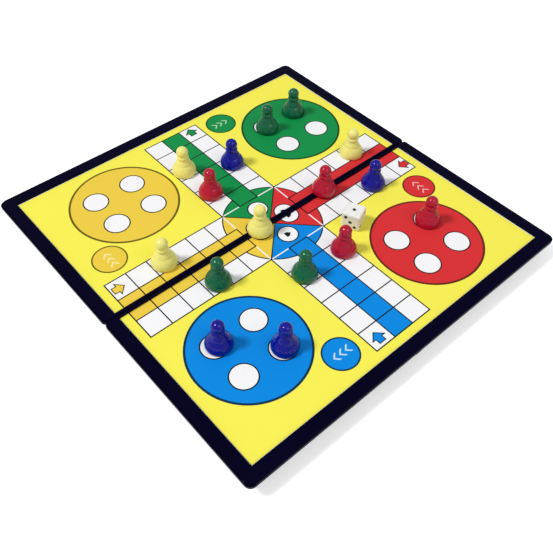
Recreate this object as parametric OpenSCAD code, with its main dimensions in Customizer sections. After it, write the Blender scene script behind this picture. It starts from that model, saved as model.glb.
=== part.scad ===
// Folding ludo board box: two moulded half shells hinged on the seam, opened flat for play.
// Millimetres. The seam runs along Y at x = 0, the table is z = 0 and +Z is up.

/* [Board] */
// Width of the opened board, across the seam
board_w = 250; // [230:1:300]
// Length of the board, along the seam
board_len = 246; // [220:1:300]
// Height of one half, from its rim on the table to the top of its frame
half_h = 13.6; // [13:0.1:20]
// Width of the raised frame round the play field
frame_w = 8.4; // [8:0.1:12]
// Width of the raised bar that each half has along the seam
seam_bar = 2; // [1.9:0.05:4]
// How far the play field lies below the top of the frame
field_drop = 1.2; // [0.8:0.1:2]
// Side of one square of the printed track
cell = 14.42; // [12.5:0.05:15]

/* [Shell] */
// Thickness of the lip that runs round the play face
lip_h = 2.8; // [2.4:0.1:4]
// How far the lip stands out past the side wall
lip_out = 5; // [2:0.1:5]
// Rounding of the top edges
edge_r = 1; // [0.5:0.1:1.2]
// Corner radius on the outside of the board
corner_r = 4; // [3:0.5:8]
// Corner radius where the two halves meet
seam_r = 2.5; // [2:0.25:4]
// Thickness of the side walls
wall = 2.6; // [2.4:0.1:4]
// Thickness of the plate under the play field
web = 1.2; // [1:0.1:2]
// Gap between the halves at the seam
seam_gap = 0.3; // [0.2:0.1:1]
// Gap between the overlapping skins of the two rims when closed
skin_gap = 0.2; // [0.1:0.05:0.5]
// Gap between the rim of one half and the step it meets on the other when closed
rim_play = 0.1; // [0.1:0.05:0.3]

/* [Play field] */
// Thickness of the steel sheet
steel_t = 0.5; // [0.3:0.1:0.8]
// Thickness of the printed sheet on it
print_t = 0.3; // [0.2:0.05:0.5]
// Gap round the edge of both sheets
sheet_gap = 0.1; // [0.05:0.05:0.3]

/* [Hinge] */
// Height of the hinge axis over the table
axis_z = 2.2; // [2.2:0.1:3]
// Radius of a hinge knuckle
knuckle_r = 2; // [1.8:0.1:2.1]
// Length of one hinge knuckle
knuckle_len = 12; // [8:1:20]
// Play between two knuckles
knuckle_gap = 0.3; // [0.2:0.1:0.6]
// Diameter of a hinge pin
pin_d = 1.5; // [1:0.1:1.8]
// Play round the pin in the knuckles of the left half
pin_play = 0.05; // [0.02:0.01:0.09]
// Play round the pin in the knuckles of the right half
pin_grip = 0.02; // [0.01:0.01:0.05]
// Gap between the knuckles and the seam walls above them
fold_gap = 0.5; // [0.5:0.1:0.8]
// Distance from the middle of the board to the middle of each hinge
hinge_y = 75; // [50:1:85]

/* [Latch] */
// Length of the sliding catch
slider_len = 16; // [14:1:24]
// Travel of the sliding catch
slider_travel = 5; // [4:0.5:7]
// Height of the sliding catch
slider_h = 4.4; // [4.2:0.1:5]
// How far the sliding catch stands out from the wall
slider_out = 3.4; // [3.2:0.1:3.6]
// Play round the rail in the sliding catch
slider_play = 0.12; // [0.08:0.02:0.2]
// Thickness of the hook under the sliding catch and of the keeper
hook_t = 1.2; // [1:0.1:1.4]
// Gap between the hook and the keeper, and between the catch and the lip
hook_gap = 0.3; // [0.2:0.05:0.4]
// Reach of the hook past its arm
hook_reach = 3; // [2:0.25:3.5]
// Height of the hook over the table
hook_low = 0.5; // [0.3:0.1:0.6]
// Thickness of the cheeks of the sliding catch over and under the rail
cheek = 0.8; // [0.6:0.1:1]
// Height of each ledge of the rail that holds the catch
ledge = 0.8; // [0.6:0.1:0.9]
// Distance from the wall to the ledges of the rail
rail_step = 0.9; // [0.7:0.1:1]
// Distance from the wall to the top of the rail
rail_top = 1.8; // [1.6:0.1:2]
// Length of each stop at the ends of the rail
stop_len = 2; // [1.5:0.5:4]
// Radius of a grip groove
groove_r = 0.4; // [0.3:0.05:0.5]
// Distance from one grip groove to the next
groove_pitch = 2.4; // [1.6:0.1:2.4]

/* [Playing pieces] */
// Diameter of a playing piece across its foot
pawn_d = 16; // [12:0.5:16]
// Height of a playing piece
pawn_h = 20.6; // [15:0.2:24]
// Diameter of the round head of a playing piece
pawn_head_d = 7.7; // [5:0.1:8.5]
// Diameter of the magnet in the foot
magnet_d = 8; // [5:0.5:9]
// Thickness of the magnet
magnet_t = 2; // [1:0.5:3]
// Play round the magnet
magnet_play = 0.05; // [0.02:0.01:0.1]
// Edge of the die
die_edge = 12; // [10:0.5:14]
// Diameter of a pip of the die
pip_d = 2.3; // [1.6:0.1:2.6]
// Depth of a pip
pip_depth = 0.45; // [0.3:0.05:0.6]
// Turn of the die on the board, in degrees
die_turn = 23.5; // [0:0.5:90]

/* [Hidden] */
$fn = 64;
half_x = board_w / 2;
half_y = board_len / 2;
wall_x = half_x - lip_out;
wall_y = half_y - lip_out;
half_gap = seam_gap / 2;
field_z = half_h - field_drop;
steel_top = field_z - print_t;
steel_z = steel_top - steel_t;
ceiling = steel_z - web;
field_x = half_x - frame_w;
field_y = half_y - frame_w;
rim_z = 2 * axis_z;
step_z = rim_z + rim_play;
skin = (wall - skin_gap) / 2;
lip_z = half_h - lip_h;
knuckle_clear = knuckle_r + fold_gap;
knuckle_pitch = knuckle_len + knuckle_gap;
pin_len = 3 * knuckle_len + 2 * knuckle_gap;
over = 1;
lap = 0.01;
slider_z = lip_z - hook_gap - slider_h;
rail_head = slider_h - 2 * cheek;
rail_neck = rail_head - 2 * ledge;
rail_mid = slider_z + slider_h / 2;
rail_len = slider_len + slider_travel;
keeper_z = rim_z - hook_low - 2 * hook_t - hook_gap;
keeper_spare = 1;
keeper_gap = 0.4;
keeper_side = 0.2;
keeper_len = hook_reach + keeper_spare;
keeper_out = slider_out - hook_t - keeper_side;
hook_end = (hook_reach - slider_travel) / 2;
hook_len = hook_reach + hook_t;
head_r = pawn_head_d / 2;
foot_r = pawn_d / 2;
die_round = 0.7;
spread = die_edge * 0.26;

// Places of the playing pieces as track squares from the middle, each with the height it stands on
yellow_at = [[-5.11, -1, 0], [-1.06, -4.97, 0], [-1.02, 5.86, 0], [0.12, -0.82, 1]];
red_at = [[-3.13, -0.97, 0], [0.08, 3, 1], [4.39, 5.15, 0], [3.22, 1.13, 0]];
green_at = [[1.2, -3.93, 0], [3.16, -1.03, 0], [-5.2, 5.89, 0], [-5.04, 4.02, 0]];
blue_at = [[3.6, -5.78, 0], [5.28, -3.98, 0], [1.21, 5.04, 0], [-4.11, 1.05, 0]];
die_at = [2.35, 2.57];

// Plan of one half, with its own corner radius on the outside and at the seam
module half_plan(inset) {
    x0 = half_gap + inset;
    x1 = half_x - inset;
    y1 = half_y - inset;
    ro = corner_r - inset;
    rs = seam_r - inset;
    for (s = [-1, 1]) {
        translate([x1 - ro, s * (y1 - ro)]) circle(ro);
        translate([x0 + rs, s * (y1 - rs)]) circle(rs);
    }
    translate([x0 + rs, -y1]) square([x1 - ro - x0 - rs, 2 * y1]);
    translate([x0, rs - y1]) square([rs + lap, 2 * (y1 - rs)]);
    translate([x1 - ro - lap, ro - y1]) square([ro + lap, 2 * (y1 - ro)]);
}

// Round bar along one edge and its round corner, which together round the top edges
module edge_bar(from, to) {
    run = to - from;
    translate([from[0], from[1], half_h - edge_r])
        rotate([0, 0, atan2(run[1], run[0])]) rotate([0, 90, 0]) cylinder(r = edge_r, h = norm(run));
}

module edge_corner(at, r) {
    translate([at[0], at[1], half_h - edge_r])
        rotate_extrude() translate([r - edge_r, 0]) circle(edge_r, $fn = 32);
}

module lip() {
    x0 = half_gap + edge_r;
    x1 = half_x - edge_r;
    y1 = half_y - edge_r;
    xs = half_gap + seam_r;
    xo = half_x - corner_r;
    ys = half_y - seam_r;
    yo = half_y - corner_r;
    translate([0, 0, lip_z]) linear_extrude(lip_h - edge_r) half_plan(0);
    translate([0, 0, lip_z]) linear_extrude(lip_h) half_plan(edge_r);
    edge_bar([x0, -ys], [x0, ys]);
    edge_bar([x1, -yo], [x1, yo]);
    for (s = [-1, 1]) {
        edge_bar([xs, s * y1], [xo, s * y1]);
        edge_corner([xs, s * ys], seam_r);
        edge_corner([xo, s * yo], corner_r);
    }
}

// Upright walls from low to the lip, between two distances from the outer face of the walls
module wall_ring(out, in, low) {
    top = lip_z + over;
    difference() {
        translate([half_gap, out - wall_y, low])
            cube([wall_x - out - half_gap, 2 * (wall_y - out), top - low]);
        translate([-over, in - wall_y, low - over])
            cube([wall_x - in + over, 2 * (wall_y - in), top - low + 2 * over]);
    }
}

// Knuckles of one half: two outer ones on the right half, the middle one on the left half
module knuckles(steps, bore_r) {
    for (s = [-1, 1]) for (k = steps) {
        y = s * hinge_y + k * knuckle_pitch;
        difference() {
            union() {
                translate([0, y, axis_z]) rotate([90, 0, 0])
                    cylinder(r = knuckle_r, h = knuckle_len, center = true);
                translate([half_gap, y - knuckle_len / 2, axis_z])
                    cube([seam_bar - half_gap, knuckle_len, knuckle_clear + over]);
            }
            translate([0, y, axis_z]) rotate([90, 0, 0])
                cylinder(r = bore_r, h = knuckle_len + 2 * over, center = true);
        }
    }
}

// One half shell, drawn as the right half: skin_out and skin_in bound the skin that reaches the table
module half_shell(skin_out, skin_in, steps, bore_r) {
    difference() {
        union() {
            lip();
            wall_ring(0, wall, step_z);
            wall_ring(skin_out, skin_in, 0);
            translate([half_gap, wall / 2 - wall_y, ceiling])
                cube([wall_x - wall / 2, 2 * wall_y - wall, web + over]);
            translate([half_gap, wall / 2 - wall_y, step_z])
                cube([seam_bar - half_gap, 2 * wall_y - wall, ceiling - step_z + over]);
        }
        translate([seam_bar, -field_y, steel_z])
            cube([field_x - seam_bar, 2 * field_y, half_h]);
        translate([0, 0, axis_z]) rotate([90, 0, 0])
            cylinder(r = knuckle_clear, h = board_len + 2 * over, center = true);
    }
    knuckles(steps, bore_r);
}

module right_shell() color("#0d0d2c") {
    half_shell(0, skin, [-1, 1], pin_d / 2 + pin_grip);
    // Keeper that the hook of the sliding catch goes over
    translate([wall_x - skin / 2, hook_end + keeper_gap, keeper_z])
        cube([keeper_out + skin / 2, keeper_len, hook_t]);
}

module left_shell() color("#0d0d2c") {
    mirror([1, 0, 0]) half_shell(skin + skin_gap, wall, [0], pin_d / 2 + pin_play);
    // T rail for the sliding catch, with a stop at each end
    translate([-wall_x - rail_step, -rail_len / 2, rail_mid - rail_neck / 2])
        cube([rail_step + over / 2, rail_len, rail_neck]);
    translate([-wall_x - rail_top, -rail_len / 2, rail_mid - rail_head / 2])
        cube([rail_top - rail_step, rail_len, rail_head]);
    for (s = [-1, 1])
        translate([-wall_x - slider_out, s * (rail_len + stop_len) / 2 - stop_len / 2, slider_z])
            cube([slider_out + over / 2, stop_len, slider_h]);
}

module sheet(low, thick) {
    x0 = seam_bar + sheet_gap;
    translate([x0, sheet_gap - field_y, low])
        cube([field_x - sheet_gap - x0, 2 * (field_y - sheet_gap), thick]);
}

module right_steel_sheet() color("#b8bcc2") sheet(steel_z, steel_t);

module left_steel_sheet() color("#b8bcc2") mirror([1, 0, 0]) sheet(steel_z, steel_t);

module right_play_sheet() color("#f6f05a") sheet(steel_top, print_t);

module left_play_sheet() color("#f6f05a") mirror([1, 0, 0]) sheet(steel_top, print_t);

module hinge_pin(side) {
    translate([0, side * hinge_y, axis_z]) rotate([90, 0, 0])
        cylinder(d = pin_d, h = pin_len, center = true);
}

module front_hinge_pin() color("#c8ccd0") hinge_pin(-1);

module rear_hinge_pin() color("#c8ccd0") hinge_pin(1);

module latch_slider() color("#0d0d2c") {
    y0 = -rail_len / 2;
    difference() {
        translate([-wall_x - slider_out, y0 + slider_play, slider_z])
            cube([slider_out - slider_play, slider_len - 2 * slider_play, slider_h]);
        translate([-wall_x - rail_step - slider_play, y0 - over, rail_mid - rail_neck / 2 - slider_play])
            cube([rail_step + over, slider_len + 2 * over, rail_neck + 2 * slider_play]);
        translate([-wall_x - rail_top - slider_play, y0 - over, rail_mid - rail_head / 2 - slider_play])
            cube([rail_top - rail_step + 2 * slider_play, slider_len + 2 * over, rail_head + 2 * slider_play]);
        for (k = [-2 : 2])
            translate([-wall_x - slider_out, y0 + slider_len / 2 + k * groove_pitch, slider_z - over])
                cylinder(r = groove_r, h = slider_h + 2 * over);
    }
    translate([-wall_x - slider_out, hook_end - hook_len, hook_low])
        cube([hook_t, hook_t, slider_z - hook_low + over / 2]);
    translate([-wall_x - slider_out, hook_end - hook_len, hook_low])
        cube([slider_out - slider_play, hook_len, hook_t]);
}

// Side of a playing piece from the foot up: bun, bell, collar and round head.
// Bell marks are shares of the foot radius and the height, neck marks of the head radius and the height.
bell_marks = [[0.912, 0], [0.975, 0.024], [1, 0.073], [1, 0.146], [0.975, 0.218], [0.925, 0.272],
    [0.862, 0.32], [0.787, 0.359], [0.719, 0.388], [0.687, 0.403], [0.669, 0.427], [0.606, 0.466],
    [0.531, 0.505]];
neck_marks = [[0.974, 0.534], [0.896, 0.558], [0.87, 0.578], [0.909, 0.592], [1, 0.612], [1.026, 0.631],
    [1, 0.655], [0.909, 0.675], [0.857, 0.689]];
pawn_side = concat(
    [[0, 0]],
    [for (m = bell_marks) [foot_r * m[0], pawn_h * m[1]]],
    [for (m = neck_marks) [head_r * m[0], pawn_h * m[1]]],
    [for (a = [-35 : 11.5 : 80]) [head_r * cos(a), pawn_h - head_r + head_r * sin(a)]],
    [[0, pawn_h]]);

module stand(at) {
    translate([at[0] * cell, at[1] * cell, at[2] == 1 ? half_h : field_z]) children();
}

module pawn(at) {
    stand(at) difference() {
        rotate_extrude() polygon(pawn_side);
        translate([0, 0, -over]) cylinder(d = magnet_d + 2 * magnet_play, h = over + magnet_t + 2 * magnet_play);
    }
}

module magnet(at) {
    stand(at) translate([0, 0, magnet_play]) cylinder(d = magnet_d, h = magnet_t);
}

module die_place() {
    translate([die_at[0] * cell, die_at[1] * cell, field_z + die_edge / 2]) rotate([0, 0, die_turn]) children();
}

// Places of the pips on each face, in steps of the spread from the middle
function pip_spots(n) = concat(
    n % 2 == 1 ? [[0, 0]] : [],
    n > 1 ? [[-1, 1], [1, -1]] : [],
    n > 3 ? [[1, 1], [-1, -1]] : [],
    n == 6 ? [[-1, 0], [1, 0]] : []);
faces = [[1, [0, 0, 0]], [6, [180, 0, 0]], [3, [90, 0, 0]], [4, [-90, 0, 0]], [2, [0, 90, 0]], [5, [0, -90, 0]]];

module on_pips() {
    for (f = faces) rotate(f[1]) for (p = pip_spots(f[0]))
        translate([p[0] * spread, p[1] * spread, die_edge / 2]) children();
}

module die() color("#f4f2ea") {
    die_place() difference() {
        intersection() {
            cube(die_edge, center = true);
            sphere(die_edge * die_round, $fn = 96);
        }
        on_pips() translate([0, 0, -pip_depth]) cylinder(d = pip_d, h = pip_depth + over);
    }
}

module die_pips() color("#101010") {
    die_place() on_pips() translate([0, 0, -pip_depth]) cylinder(d = pip_d, h = pip_depth / 2);
}

module colour_set(name, list, tint) {
    for (k = [0 : 3]) {
        color(tint) pawn(list[k]);
        color("#8a8e94") magnet(list[k]);
    }
}

right_shell();
left_shell();
right_steel_sheet();
left_steel_sheet();
right_play_sheet();
left_play_sheet();
front_hinge_pin();
rear_hinge_pin();
latch_slider();
die();
die_pips();
colour_set("yellow", yellow_at, "#f0eb78");
colour_set("red", red_at, "#be1432");
colour_set("green", green_at, "#006e46");
colour_set("blue", blue_at, "#0a0a96");
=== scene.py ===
"""Folding ludo board box, opened flat, with its playing pieces and die."""
import bpy
import math
import numpy as np
from mathutils import Euler, Matrix, Vector


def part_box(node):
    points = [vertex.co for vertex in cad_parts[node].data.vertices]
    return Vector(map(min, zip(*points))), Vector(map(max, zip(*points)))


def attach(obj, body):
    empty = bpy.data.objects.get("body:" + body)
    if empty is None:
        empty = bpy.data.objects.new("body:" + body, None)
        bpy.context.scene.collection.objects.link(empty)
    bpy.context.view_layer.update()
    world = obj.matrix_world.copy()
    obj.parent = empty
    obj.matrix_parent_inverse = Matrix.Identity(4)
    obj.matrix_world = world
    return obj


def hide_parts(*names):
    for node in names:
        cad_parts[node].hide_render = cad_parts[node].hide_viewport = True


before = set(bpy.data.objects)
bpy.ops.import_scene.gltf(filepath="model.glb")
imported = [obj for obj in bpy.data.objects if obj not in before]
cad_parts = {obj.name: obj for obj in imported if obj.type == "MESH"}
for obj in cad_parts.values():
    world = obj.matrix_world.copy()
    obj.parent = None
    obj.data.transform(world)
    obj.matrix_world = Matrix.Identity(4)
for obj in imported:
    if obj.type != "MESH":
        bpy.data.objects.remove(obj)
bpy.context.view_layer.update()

# Camera, paper floor and studio light.
# The box lies on a white paper sweep under one large soft lamp from the left
# and a weak one from the right, and is seen from above its near corner.
eye = Vector((0.2246, -0.1988, 0.3140))
image_right = Vector((0.65975, 0.75135, 0.01377))
image_up = Vector((-0.58042, 0.49785, 0.64441))
toward_eye = Vector((0.47733, -0.43314, 0.76455))
camera_data = bpy.data.cameras.new("camera")
camera_data.lens = 43.89
camera_data.sensor_width = 36.0
camera_data.shift_x = -0.0016
camera_data.shift_y = 0.0008
camera_data.clip_start = 0.01
camera = bpy.data.objects.new("camera", camera_data)
bpy.context.scene.collection.objects.link(camera)
aim = Matrix((image_right, image_up, toward_eye)).transposed().to_4x4()
camera.matrix_world = Matrix.Translation(eye) @ aim
bpy.context.scene.camera = camera


def new_mesh_object(name, verts, faces, smooth=False):
    """A mesh from an array of points and a list of faces, linked to the scene."""
    mesh = bpy.data.meshes.new(name)
    mesh.from_pydata(np.asarray(verts, dtype=float).tolist(), [], faces)
    mesh.update()
    if smooth:
        mesh.polygons.foreach_set("use_smooth", np.ones(len(mesh.polygons), dtype=bool))
    obj = bpy.data.objects.new(name, mesh)
    bpy.context.scene.collection.objects.link(obj)
    return obj


def node_material(name):
    """An empty node material with its Principled BSDF, node tree and link function."""
    mat = bpy.data.materials.new(name)
    mat.use_nodes = True
    tree = mat.node_tree
    return mat, tree, tree.nodes["Principled BSDF"], tree.links.new


paper, tree, shader, link = node_material("paper_sweep")
shader.inputs["Base Color"].default_value = (0.82, 0.82, 0.82, 1)
shader.inputs["Roughness"].default_value = 0.9
glow = tree.nodes.new("ShaderNodeEmission")
rays = tree.nodes.new("ShaderNodeLightPath")
seen = tree.nodes.new("ShaderNodeMath")
seen.operation = "MAXIMUM"
lift = tree.nodes.new("ShaderNodeMath")
lift.operation = "MULTIPLY"
# The paper glows a little where it is seen, but not where the box shuts it in
# under its open underside
cover = tree.nodes.new("ShaderNodeAmbientOcclusion")
cover.inputs["Distance"].default_value = 0.1
open_air = tree.nodes.new("ShaderNodeMapRange")
open_air.inputs["From Min"].default_value = 0.05
open_air.inputs["From Max"].default_value = 0.2
open_air.inputs["To Max"].default_value = 0.45
link(cover.outputs["AO"], open_air.inputs["Value"])
link(open_air.outputs["Result"], lift.inputs[1])
both = tree.nodes.new("ShaderNodeAddShader")
link(rays.outputs["Is Camera Ray"], seen.inputs[0])
link(rays.outputs["Is Glossy Ray"], seen.inputs[1])
link(seen.outputs[0], lift.inputs[0])
link(lift.outputs[0], glow.inputs["Strength"])
link(shader.outputs[0], both.inputs[0])
link(glow.outputs[0], both.inputs[1])
link(both.outputs[0], tree.nodes["Material Output"].inputs["Surface"])

sweep_half = 3.0
corners = np.array([[-1, -1, 0], [1, -1, 0], [1, 1, 0], [-1, 1, 0]]) * sweep_half
sweep = new_mesh_object("paper_sweep", corners, [[0, 1, 2, 3]])
sweep.data.materials.append(paper)

world = bpy.data.worlds.new("studio")
bpy.context.scene.world = world
world.use_nodes = True
sky_tree = world.node_tree
sky = sky_tree.nodes["Background"]
sky.inputs["Color"].default_value = (1, 1, 1, 1)
sky_rays = sky_tree.nodes.new("ShaderNodeLightPath")
sky_level = sky_tree.nodes.new("ShaderNodeMapRange")
sky_level.inputs["To Min"].default_value = 0.42
sky_level.inputs["To Max"].default_value = 1.0
sky_tree.links.new(sky_rays.outputs["Is Camera Ray"], sky_level.inputs["Value"])
sky_tree.links.new(sky_level.outputs["Result"], sky.inputs["Strength"])


def soft_lamp(name, place, size, power):
    """A square area lamp aimed at the middle of the board."""
    data = bpy.data.lights.new(name, "AREA")
    data.energy = power
    data.size = size
    lamp = bpy.data.objects.new(name, data)
    lamp.location = place
    lamp.rotation_euler = (-Vector(place)).to_track_quat("-Z", "Y").to_euler()
    bpy.context.scene.collection.objects.link(lamp)


soft_lamp("key_lamp", (-0.8, -1.4, 2.3), 0.5, 46.0)
soft_lamp("fill_lamp", (0.75, 0.15, 0.9), 0.8, 2.7)

bpy.context.scene.view_settings.view_transform = "Standard"


# Half shells: two mouldings in navy polystyrene with a fine grain on the frame.
# Each is one tray with a lip round its play face; the two turn on wire pins
# under the seam, and the wall on the left carries the rail of the catch.
def effect_group(name, sockets_in, sockets_out):
    """A shader node group with the given input and output sockets, and its two end nodes."""
    group = bpy.data.node_groups.new(name, "ShaderNodeTree")
    for label, kind, value in sockets_in:
        socket = group.interface.new_socket(label, in_out="INPUT", socket_type=kind)
        if value is not None:
            socket.default_value = value
    for label, kind in sockets_out:
        group.interface.new_socket(label, in_out="OUTPUT", socket_type=kind)
    return group, group.nodes.new("NodeGroupInput"), group.nodes.new("NodeGroupOutput")


FLOAT, COLOR = "NodeSocketFloat", "NodeSocketColor"
# Moulding grain as a height, and a slow drift of tone and roughness
surface_group, group_in, group_out = effect_group(
    "moulded_surface",
    [("Tint", COLOR, (0.5, 0.5, 0.5, 1)), ("Grain Scale", FLOAT, 2500.0),
     ("Drift Scale", FLOAT, 18.0), ("Drift", FLOAT, 0.08),
     ("Rough Low", FLOAT, 0.3), ("Rough High", FLOAT, 0.4)],
    [("Color", COLOR), ("Roughness", FLOAT), ("Height", FLOAT)])
group_node, join = surface_group.nodes, surface_group.links.new
place = group_node.new("ShaderNodeTexCoord")
grain = group_node.new("ShaderNodeTexNoise")
drift = group_node.new("ShaderNodeTexNoise")
drift.inputs["Detail"].default_value = 3.0
grain.inputs["Detail"].default_value = 2.0
join(place.outputs["Object"], grain.inputs["Vector"])
join(place.outputs["Object"], drift.inputs["Vector"])
join(group_in.outputs["Grain Scale"], grain.inputs["Scale"])
join(group_in.outputs["Drift Scale"], drift.inputs["Scale"])
centred = group_node.new("ShaderNodeMath")
centred.operation = "SUBTRACT"
centred.inputs[1].default_value = 0.5
join(drift.outputs["Fac"], centred.inputs[0])
swing = group_node.new("ShaderNodeMath")
swing.operation = "MULTIPLY_ADD"
swing.inputs[2].default_value = 1.0
join(centred.outputs[0], swing.inputs[0])
join(group_in.outputs["Drift"], swing.inputs[1])
tinted = group_node.new("ShaderNodeVectorMath")
tinted.operation = "SCALE"
join(group_in.outputs["Tint"], tinted.inputs[0])
join(swing.outputs[0], tinted.inputs["Scale"])
join(tinted.outputs[0], group_out.inputs["Color"])
rough = group_node.new("ShaderNodeMapRange")
join(drift.outputs["Fac"], rough.inputs["Value"])
join(group_in.outputs["Rough Low"], rough.inputs["To Min"])
join(group_in.outputs["Rough High"], rough.inputs["To Max"])
join(rough.outputs["Result"], group_out.inputs["Roughness"])
join(grain.outputs["Fac"], group_out.inputs["Height"])


def finish_material(name, tint, rough, grain_scale, drift, drift_scale, bump, **sockets):
    """A Principled material over the shared surface group; bump is the grain's depth in metres."""
    mat, tree, shader, link = node_material(name)
    group = tree.nodes.new("ShaderNodeGroup")
    group.node_tree = surface_group
    group.inputs["Tint"].default_value = (*tint, 1)
    group.inputs["Grain Scale"].default_value = grain_scale
    group.inputs["Drift Scale"].default_value = drift_scale
    group.inputs["Drift"].default_value = drift
    group.inputs["Rough Low"].default_value = rough[0]
    group.inputs["Rough High"].default_value = rough[1]
    relief = tree.nodes.new("ShaderNodeBump")
    relief.inputs["Distance"].default_value = bump
    relief.inputs["Strength"].default_value = 0.6
    link(group.outputs["Color"], shader.inputs["Base Color"])
    link(group.outputs["Roughness"], shader.inputs["Roughness"])
    link(group.outputs["Height"], relief.inputs["Height"])
    link(relief.outputs["Normal"], shader.inputs["Normal"])
    for socket, value in sockets.items():
        shader.inputs[socket.replace("_", " ")].default_value = value
    return mat


def dress(node, mat):
    """Gives a CAD node its finish."""
    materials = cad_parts[node].data.materials
    for k in range(len(materials)):
        materials[k] = mat


navy = finish_material("navy_moulding", (0.0012, 0.0008, 0.013), (0.28, 0.4), 3200, 0.6, 30,
                       0.00003, Specular_IOR_Level=0.035)
for part in ("right_shell", "left_shell"):
    dress(part, navy)

# Sliding catch: the same navy moulding with finer polish from handling.
# It rides on a T rail and its hook goes over the keeper of the other half.
catch = finish_material("navy_catch", (0.002, 0.0015, 0.016), (0.22, 0.32), 3200, 0.4, 60,
                        0.00002, Specular_IOR_Level=0.15)
dress("latch_slider", catch)

# Steel sheets under the print, hinge wires, and magnets in the feet.
# The sheets are thin zinc-plated steel laid in the recess, the wires are
# drawn steel, and the magnets are dark pressed ferrite discs glued in.
zinc = finish_material("zinc_sheet", (0.55, 0.56, 0.58), (0.3, 0.5), 1200, 0.3, 60,
                       0.00001, Metallic=1.0)
wire = finish_material("drawn_wire", (0.6, 0.6, 0.62), (0.2, 0.35), 4000, 0.2, 200,
                       0.00001, Metallic=1.0)
ferrite = finish_material("ferrite", (0.06, 0.06, 0.065), (0.55, 0.75), 3500, 0.4, 300,
                          0.00003)
for part in ("right_steel_sheet", "left_steel_sheet"):
    dress(part, zinc)
for part in ("front_hinge_pin", "rear_hinge_pin"):
    dress(part, wire)
for colour in ("yellow", "red", "green", "blue"):
    for k in range(1, 5):
        dress(f"{colour}_magnet_{k}", ferrite)

# Printed play sheets: one film for each half, lying on the steel in the recess.
# The inks lie on each other in thin layers under a clear laminate: the yellow
# ground first, then the track, the home circles, the centre and their lines.
sheet_low = Vector(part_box("right_play_sheet")[0])
sheet_high = Vector(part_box("right_play_sheet")[1])
cell = 0.01442
ink_step = 0.00002
ink_layers = 8
ink_floor = sheet_high.z - ink_layers * ink_step
white_edge = 0.0005
# Widths of the black lines and of the home circles' rims, in cells
line, rim_line, arrow_line = 0.055, 0.095, 0.04


def rect(u0, u1, v0, v1):
    """Outline of a rectangle between two corners."""
    return np.array([[u0, v0], [u1, v0], [u1, v1], [u0, v1]])


def disc(u, v, r, start=0.0, sweep=360.0, steps=96):
    """Outline of a circle, or of its part from one angle over a sweep, closed by its chord."""
    ends = steps if sweep == 360.0 else steps + 1
    a = np.radians(start + sweep * np.arange(ends) / steps)
    return np.stack([u + r * np.cos(a), v + r * np.sin(a)], axis=1)


def pie(r, start, sweep):
    """Outline of a slice of a circle with its point at the middle of the board."""
    return np.vstack([[[0.0, 0.0]], disc(0, 0, r, start, sweep, 32)])


def stroke(a, b, width):
    """Outline of a straight line of a width from a to b."""
    a, b = np.array(a, dtype=float), np.array(b, dtype=float)
    run = (b - a) / np.linalg.norm(b - a)
    side = np.array([-run[1], run[0]]) * width / 2
    return np.array([a - side, b - side, b + side, a + side])


def turned(shape, u, v, toward):
    """An outline turned by an angle about its own zero, then moved to a point."""
    a = math.radians(toward)
    spin = np.array([[math.cos(a), math.sin(a)], [-math.sin(a), math.cos(a)]])
    return shape @ spin + np.array([u, v])


def arrow(u, v, toward, grow):
    """Outline of the block arrow at the start of each team's way, pointing in an angle;
    grow widens it all round, which leaves the black line under it."""
    half_head, half_shaft = 0.27 + 2.4 * grow, 0.14 + grow
    head, tail = 0.25 + 1.5 * grow, 0.22 + grow
    shape = np.array([[head, 0], [-grow, half_head], [-grow, half_shaft], [-tail, half_shaft],
                      [-tail, -half_shaft], [-grow, -half_shaft], [-grow, -half_head]])
    return turned(shape, u, v, toward)


def chevron(u, v, toward, reach, thick):
    """Outline of one open chevron that points in an angle."""
    back = reach + thick
    shape = np.array([[reach, 0], [-reach, 2 * reach], [-back, 2 * reach], [reach - thick, 0],
                      [-back, -2 * reach], [-reach, -2 * reach]])
    return turned(shape, u, v, toward)


def house(u, v):
    """Outline of a plain house mark; its half away from the seam is everything from the
    third point on."""
    side, eave, ridge = 0.13, 0.01, 0.15
    shape = np.array([[-side, eave], [-side, -side], [0, -side], [side, -side], [side, eave],
                      [0, ridge]])
    return shape + np.array([u, v])


INK = {
    "yellow": (0.92, 0.85, 0.09), "white": (0.9, 0.9, 0.92), "black": (0.008, 0.008, 0.01),
    "red": (0.68, 0.03, 0.035), "blue": (0.0005, 0.245, 0.74),
    "green": (0.005, 0.27, 0.065), "gold": (0.84, 0.6, 0.06),
    "dark_red": (0.13, 0.02, 0.008), "dark_blue": (0.002, 0.03, 0.08),
    "dark_green": (0.005, 0.06, 0.015), "olive": (0.14, 0.11, 0.01),
    "pale_red": (0.85, 0.45, 0.42), "pale_blue": (0.5, 0.72, 0.9),
    "pale_green": (0.4, 0.66, 0.42), "pale_gold": (0.95, 0.82, 0.38),
}
ink_material = {
    name: finish_material(f"ink_{name}", tint, (0.4, 0.5), 1500, 0.05, 25, 0.000004,
                          Specular_IOR_Level=0.12)
    for name, tint in INK.items()
}
# Each team's half, home circle, start disc, arrow with its angle, and the chevrons' angle
TEAM = {
    "green": {"side": -1, "home": (4.25, 5.0), "start": (6.75, 2.55), "way": (7.12, 1.0, 0),
              "marks": 90},
    "gold": {"side": -1, "home": (5.0, -4.25), "start": (2.58, -6.56), "way": (1.0, -7.15, 90),
             "marks": 0},
    "red": {"side": 1, "home": (5.0, 4.25), "start": (2.5, 6.6), "way": (1.0, 7.2, -90),
            "marks": 180},
    "blue": {"side": 1, "home": (4.25, -5.0), "start": (6.7, -2.6), "way": (7.1, -1.0, 180),
             "marks": -90},
}
OUTLINE = {"green": "dark_green", "gold": "olive", "red": "dark_red", "blue": "dark_blue"}
LANE = {1: ("red", "gold", "blue"), -1: ("red", "gold", "green")}
home_r, spot_r, start_r, centre_r, hub_r = 2.36, 0.53, 0.69, 2.06, 0.42
spot_u, spot_v = 0.86, 0.95
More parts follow.
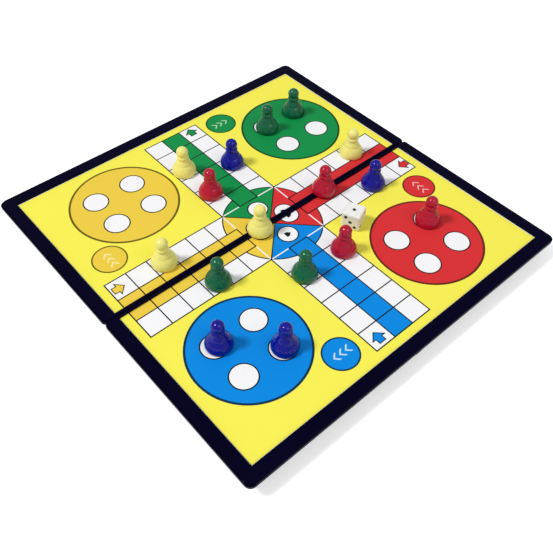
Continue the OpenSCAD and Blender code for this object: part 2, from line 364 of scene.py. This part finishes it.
hub_u, hub_v = 0.855, 0.8
start_line = rim_line * 0.7
chevron_pitch, chevron_reach = 0.3, 0.09
# The cross: half widths of a lane and of an arm, its cells and where its arms and lanes end
lane_half, arm_half, arm_cells, arm_end = 0.5, 1.5, 6, 7.5
lane_in, border_in = 2.4, 2.1
white_in, white_out = 0.55, 1.45


def half_print(side):
    """The inks of one half as (ink, layer, outline), in cells, with u away from the seam."""
    inks = []
    top, bottom, row = LANE[side]
    edge = line / 2

    def add(ink, layer, outline):
        inks.append((ink, layer, outline))

    add("black", 1, rect(0, arm_half + edge, arm_half - edge, arm_end + edge))
    add("black", 1, rect(0, arm_half + edge, -arm_end - edge, -arm_half + edge))
    add("black", 1, rect(arm_half - edge, arm_end + edge, -arm_half - edge, arm_half + edge))
    for k in range(arm_cells):
        near, far = arm_half + k + edge, arm_half + k + 1 - edge
        add("white", 2, rect(lane_half + edge, arm_half - edge, near, far))
        add("white", 2, rect(lane_half + edge, arm_half - edge, -far, -near))
        add("white", 2, rect(near, far, lane_half + edge, arm_half - edge))
        add("white", 2, rect(near, far, edge - arm_half, -lane_half - edge))
        add(bottom, 2, rect(0, lane_half - edge, -far, -near))
        add(row, 2, rect(near, far, edge - lane_half, lane_half - edge))
    add(top, 2, rect(0, lane_half - edge, arm_half, arm_end - edge))
    for team, facts in TEAM.items():
        if facts["side"] != side:
            continue
        dark = OUTLINE[team]
        hu, hv = facts["home"]
        su, sv = facts["start"]
        add(dark, 1, disc(hu, hv, home_r + rim_line))
        add(team, 2, disc(hu, hv, home_r))
        add(dark, 1, disc(su, sv, start_r + start_line))
        add(team, 2, disc(su, sv, start_r))
        for a in (-1, 1):
            for b in (-1, 1):
                spot = (hu + a * spot_u, hv + b * spot_v)
                add("black", 3, disc(*spot, spot_r + line))
                add("white", 4, disc(*spot, spot_r))
        wu, wv, toward = facts["way"]
        add("black", 3, arrow(wu, wv, toward, arrow_line))
        add(team, 4, arrow(wu, wv, toward, 0.0))
        a = math.radians(facts["marks"])
        for k in (-1, 0, 1):
            away = chevron_pitch * k
            add(f"pale_{team}", 3, chevron(su + away * math.cos(a), sv + away * math.sin(a),
                                          facts["marks"], chevron_reach, chevron_reach))
    add("black", 3, disc(0, 0, centre_r + line, -90, 180))
    add(row, 4, pie(centre_r, -45, 90))
    add(top, 4, pie(centre_r, 45, 45))
    add(bottom, 4, pie(centre_r, -90, 45))
    add(row, 5, rect(arm_half, lane_in, edge - lane_half, lane_half - edge))
    for lane, sign in ((top, 1), (bottom, -1)):
        ends = sorted((arm_half * sign, lane_in * sign))
        arm = sign * arm_half
        add(lane, 5, rect(0, lane_half - edge, *ends))
        add("black", 6, stroke((lane_half, arm), (lane_half, sign * border_in), line))
        add("black", 6, stroke((0, arm), (lane_half, arm), line))
        add("black", 5, stroke((0, 0), (arm_half, arm), line))
        add("white", 5, stroke((white_in, arm), (white_out, arm), line))
        add("white", 5, stroke((arm_half, sign * white_in), (arm_half, sign * white_out), line))
        add("black", 6, stroke((arm_half, sign * lane_half), (border_in, sign * lane_half), line))
        add("black", 6, disc(0, sign * hub_v, hub_r + line, -90, 180))
        add("white", 7, disc(0, sign * hub_v, hub_r, -90, 180))
        add("black", ink_layers, house(0, sign * hub_v)[2:])
    add("black", 6, stroke((arm_half, -lane_half), (arm_half, lane_half), line))
    add("black", 6, disc(hub_u, 0, hub_r + line))
    add("white", 7, disc(hub_u, 0, hub_r))
    add("black", ink_layers, house(hub_u, 0))
    return inks


def ring_prism(ring, top_z, foot_z):
    """Closed prism between two heights: the ring of points at its top, then at its foot."""
    n = len(ring)
    k = np.arange(n)
    points = np.vstack([np.column_stack([ring, np.full(n, z)]) for z in (top_z, foot_z)])
    sides = np.stack([k + n, (k + 1) % n + n, (k + 1) % n, k], axis=1).tolist()
    return points, [list(range(n)), list(range(2 * n - 1, n - 1, -1))] + sides


def ink_prism(outline, layer, side):
    """Prism under an outline in cells, anticlockwise from above and sunk a little into the
    layer below, in metres."""
    x = side * (sheet_low.x + np.clip(outline[:, 0], 0, None) * cell)
    y = outline[:, 1] * cell
    clockwise = np.sum(x * np.roll(y, -1) - np.roll(x, -1) * y) < 0
    ring = np.stack([x, y], axis=1)[::-1 if clockwise else 1]
    return ring_prism(ring, ink_floor + ink_step * layer,
                      ink_floor + ink_step * (layer - 1) - ink_step / 4)


def ink_piece(name, prisms, mat, body):
    """One mesh of all patches of one ink on one half."""
    verts, faces, base = [], [], 0
    for points, loops in prisms:
        verts.append(points)
        faces += [[i + base for i in loop] for loop in loops]
        base += len(points)
    piece = new_mesh_object(name, np.vstack(verts), faces)
    piece.data.materials.append(mat)
    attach(piece, body)
    return piece


for side, name in ((1, "right"), (-1, "left")):
    body = f"{name}_half"
    plates = []
    # The film over the whole recess, and the yellow ground inside its white edge
    for inset, layer in ((0.0, 0.0), (white_edge, 0.5)):
        y1 = sheet_high.y - inset
        plan = rect(sheet_low.x, sheet_high.x - inset, -y1, y1) * (side, 1)
        top_z = ink_floor + ink_step * layer
        foot_z = sheet_low.z if inset == 0.0 else top_z - ink_step
        plates.append(ring_prism(plan[::side], top_z, foot_z))
    ground = ink_piece(f"{name}_print_film", plates[:1], ink_material["white"], body)
    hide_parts(f"{name}_play_sheet")
    ink_piece(f"{name}_print_yellow", plates[1:], ink_material["yellow"], body)
    inks = half_print(side)
    for ink in sorted({entry[0] for entry in inks}):
        prisms = [ink_prism(outline, layer, side) for tone, layer, outline in inks if tone == ink]
        ink_piece(f"{name}_print_{ink}", prisms, ink_material[ink], body)

# Playing pieces: sixteen pieces of glossy polystyrene, four to a team.
# Each is turned from one outline: a foot ring, a wide bell, a collar and a
# round head, with a pocket for the magnet that is glued into the foot.
foot_radius, pawn_height, head_radius = 0.008, 0.0206, 0.00385
pocket_radius, pocket_depth = 0.00405, 0.0021


def pawn_outline():
    """(r, z) up the outside of a piece, from the middle of its pocket round the foot to the top.
    Smooth stretches are a Catmull-Rom curve through a few marks."""
    marks = np.array([
        [0.912, 0.0], [0.975, 0.024], [1.0, 0.073], [0.995, 0.135], [0.955, 0.2], [0.895, 0.254],
        [0.825, 0.303], [0.745, 0.345], [0.68, 0.376], [0.655, 0.394],
        [0.635, 0.42], [0.575, 0.462], [0.51, 0.503], [0.462, 0.534], [0.428, 0.558],
        [0.415, 0.578], [0.435, 0.592], [0.478, 0.612], [0.494, 0.631], [0.481, 0.655],
        [0.438, 0.675], [0.412, 0.689],
    ]) * [foot_radius, pawn_height]
    a = np.radians(np.linspace(-35, 90, 12))
    ball = head_radius * np.stack([np.cos(a), np.sin(a)], axis=1) + [0, pawn_height - head_radius]
    path = np.vstack([marks, ball])
    p0, p1, p2, p3 = (p[:, None, :] for p in (path[:-3], path[1:-2], path[2:-1], path[3:]))
    t = np.linspace(0, 1, 5)[:-1][None, :, None]
    curve = 0.5 * (2 * p1 + (p2 - p0) * t + (2 * p0 - 5 * p1 + 4 * p2 - p3) * t ** 2
                   + (3 * p1 - p0 - 3 * p2 + p3) * t ** 3)
    pocket = np.array([[0, pocket_depth], [pocket_radius, pocket_depth], [pocket_radius, 0.0],
                       path[0]])
    return np.vstack([pocket, curve.reshape(-1, 2), path[-2:]])


def turned_piece(name, outline, centre, low, mat):
    """Surface of revolution: the outline (r, z) carried round the axis in equal turns, with
    a fan of triangles that closes each pole."""
    turns = 72
    inner = outline[1:-1]
    a = 2 * np.pi * np.arange(turns) / turns
    x = centre[0] + inner[:, None, 0] * np.cos(a)
    y = centre[1] + inner[:, None, 0] * np.sin(a)
    z = np.repeat(low + inner[:, None, 1], turns, axis=1)
    verts = np.vstack([np.stack([x, y, z], axis=2).reshape(-1, 3),
                       [[*centre, low + outline[0, 1]], [*centre, low + outline[-1, 1]]]])
    rows, cols = np.meshgrid(np.arange(len(inner) - 1), np.arange(turns), indexing="ij")
    step = (cols + 1) % turns
    quads = np.stack([rows * turns + cols, rows * turns + step, (rows + 1) * turns + step,
                      (rows + 1) * turns + cols], axis=2).reshape(-1, 4)
    k = np.arange(turns)
    last = (len(inner) - 1) * turns
    foot = np.stack([(k + 1) % turns, k, np.full(turns, len(verts) - 2)], axis=1)
    crown = np.stack([last + k, last + (k + 1) % turns, np.full(turns, len(verts) - 1)], axis=1)
    faces = quads.tolist() + foot.tolist() + crown.tolist()
    piece = new_mesh_object(name, verts, faces, smooth=True)
    sharp = piece.data.attributes.new("sharp_edge", "BOOLEAN", "EDGE")
    ends = np.empty(len(piece.data.edges) * 2, dtype=np.int32)
    piece.data.edges.foreach_get("vertices", ends)
    ring = ends.reshape(-1, 2) // turns
    on_pocket = (ring[:, 0] == ring[:, 1]) & (ring[:, 0] < 3)
    sharp.data.foreach_set("value", on_pocket)
    piece.data.materials.append(mat)
    return piece


pawn_side = pawn_outline()
PIECE_TINT = {"yellow": (0.9, 0.83, 0.22), "red": (0.46, 0.004, 0.03),
              "green": (0.001, 0.12, 0.05), "blue": (0.001, 0.002, 0.27)}
for colour, tint in PIECE_TINT.items():
    gloss = finish_material(f"{colour}_piece", tint, (0.14, 0.2), 2200, 0.1, 150, 0.000004,
                            Specular_IOR_Level=0.4)
    for k in range(1, 5):
        node = f"{colour}_pawn_{k}"
        low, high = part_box(node)
        centre = ((low[0] + high[0]) / 2, (low[1] + high[1]) / 2)
        piece = turned_piece(f"{colour}_piece_{k}", pawn_side, centre, low[2], gloss)
        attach(piece, f"{colour}_piece_{k}")
        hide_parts(node)

# Die: one 12 mm cube of opaque white plastic, tumbled round at its corners.
# The pips are round hollows with black paint in them; opposite faces add to
# seven, with the one on top and the three on the near left.
die_low, die_high = (Vector(c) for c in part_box("die"))
die_centre = (die_low + die_high) / 2
die_half = (die_high.z - die_low.z) / 2
die_turn = math.radians(23.5)
corner_round = 0.22
pip_radius = 0.00118
pip_deep = 0.00045
pip_spread = 0.00312
# The painted hollow of a pip: where its edge starts to fade and over how much, in pip radii
paint_edge, paint_fade = 1.02, 0.08
pair = [(-1, 1), (1, -1)]
square = pair + [(1, 1), (-1, -1)]
PIPS = {1: [(0, 0)], 2: pair, 3: pair + [(0, 0)], 4: square, 5: square + [(0, 0)],
        6: square + [(-1, 0), (1, 0)]}
FACES = {1: (0, 0, 0), 6: (180, 0, 0), 3: (90, 0, 0), 4: (-90, 0, 0), 2: (0, 90, 0),
         5: (0, -90, 0)}
face_steps = 96


def die_face(count, tilt):
    """One face as a grid: the cube's face is drawn in to a rounded box, then sinks inside
    each pip as a round cup. Returns its points, its faces and how far each point is painted."""
    n = face_steps + 1
    s = np.sin(np.linspace(-1, 1, n) * np.pi / 4) / np.sin(np.pi / 4)
    u, v = np.meshgrid(s, s, indexing="ij")
    flat = np.stack([u, v, np.ones_like(u)], axis=2).reshape(-1, 3)
    core = np.clip(flat, corner_round - 1, 1 - corner_round)
    out = flat - core
    out /= np.linalg.norm(out, axis=1, keepdims=True)
    points = (core + out * corner_round) * die_half
    ink = np.zeros(len(points))
    for a, b in PIPS[count]:
        away = np.hypot(*(points[:, :2] - np.multiply((a, b), pip_spread)).T) / pip_radius
        inside = np.clip(1.0 - away ** 2, 0, None)
        points[:, 2] -= pip_deep * np.sqrt(inside)
        ink = np.maximum(ink, np.clip((paint_edge - away) / paint_fade, 0, 1))
    spin = np.array(Euler([math.radians(t) for t in tilt]).to_matrix())
    i, j = np.meshgrid(np.arange(face_steps), np.arange(face_steps), indexing="ij")
    first = (i * n + j).reshape(-1, 1)
    return points @ spin.T, first + np.array([0, n, n + 1, 1]), ink


faces = [die_face(count, tilt) for count, tilt in FACES.items()]
verts = np.vstack([points for points, _, _ in faces])
verts = verts @ np.array(Matrix.Rotation(die_turn, 3, "Z")).T + np.array(die_centre)
quads = np.vstack([quads + k * len(points) for k, (points, quads, _) in enumerate(faces)])
die = new_mesh_object("die", verts, quads.tolist(), smooth=True)
paint = die.data.attributes.new("pip_paint", "FLOAT", "POINT")
paint.data.foreach_set("value", np.concatenate([ink for _, _, ink in faces]))

ivory = finish_material("die_white", (0.87, 0.86, 0.82), (0.12, 0.2), 1800, 0.04, 200, 0.000004,
                        Coat_Weight=0.3, Coat_Roughness=0.1)
tree = ivory.node_tree
shader = tree.nodes["Principled BSDF"]
group = next(n for n in tree.nodes if n.type == "GROUP")
mask = tree.nodes.new("ShaderNodeAttribute")
mask.attribute_name = "pip_paint"
mixed = tree.nodes.new("ShaderNodeMix")
mixed.data_type = "RGBA"
mixed.inputs["B"].default_value = (0.01, 0.01, 0.011, 1)
for source, target in ((mask.outputs["Fac"], mixed.inputs["Factor"]),
                       (group.outputs["Color"], mixed.inputs["A"]),
                       (mixed.outputs["Result"], shader.inputs["Base Color"])):
    tree.links.new(source, target)
die.data.materials.append(ivory)
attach(die, "die")
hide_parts("die", "die_pips")
